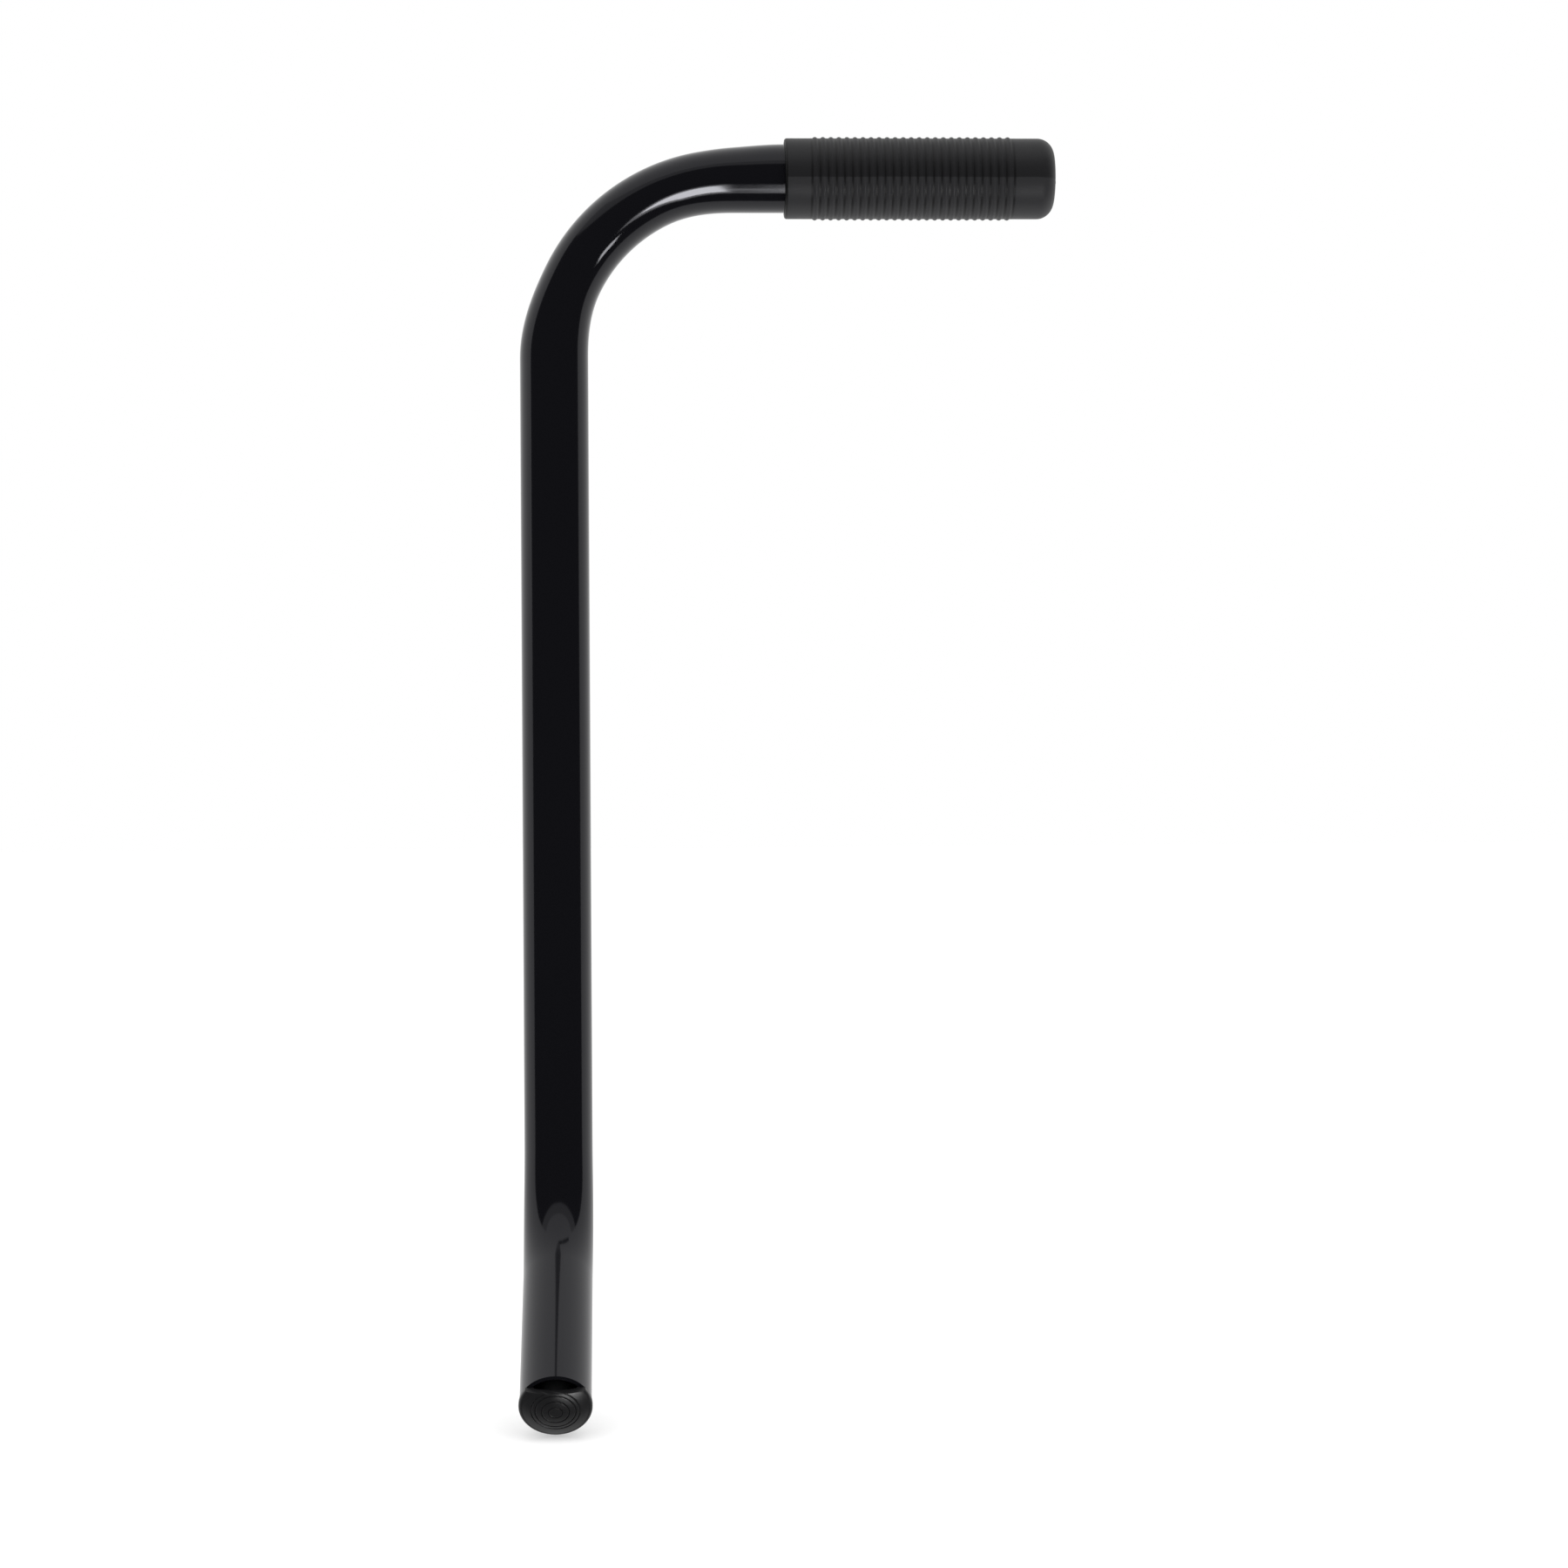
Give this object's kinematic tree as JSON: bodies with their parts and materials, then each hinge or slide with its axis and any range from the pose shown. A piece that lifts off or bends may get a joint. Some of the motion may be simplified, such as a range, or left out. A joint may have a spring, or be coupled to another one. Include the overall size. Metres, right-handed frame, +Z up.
{
  "type": "bent tube walking-cane handle",
  "caption": "Bent black steel tube with a ribbed sleeve grip on its handle end and a domed push-in plug in its angled foot end.",
  "frame": {"origin": "centre of the flat crown on the foot plug's domed face", "axes": "+Z up along the straight shaft, +X towards the hand grip, -Y towards the foot"},
  "size_m": [0.2007, 0.1033, 0.4697],
  "materials": {
    "gloss_black_coat": "gloss black powder coat on steel",
    "grip_vinyl": "satin flexible vinyl, fine moulded grain",
    "plug_plastic": "semi-gloss moulded polyethylene"
  },
  "bodies": {
    "root": {"shaft_tube": "gloss_black_coat", "hand_grip": "grip_vinyl", "foot_plug": "plug_plastic"}
  },
  "joints": []
}
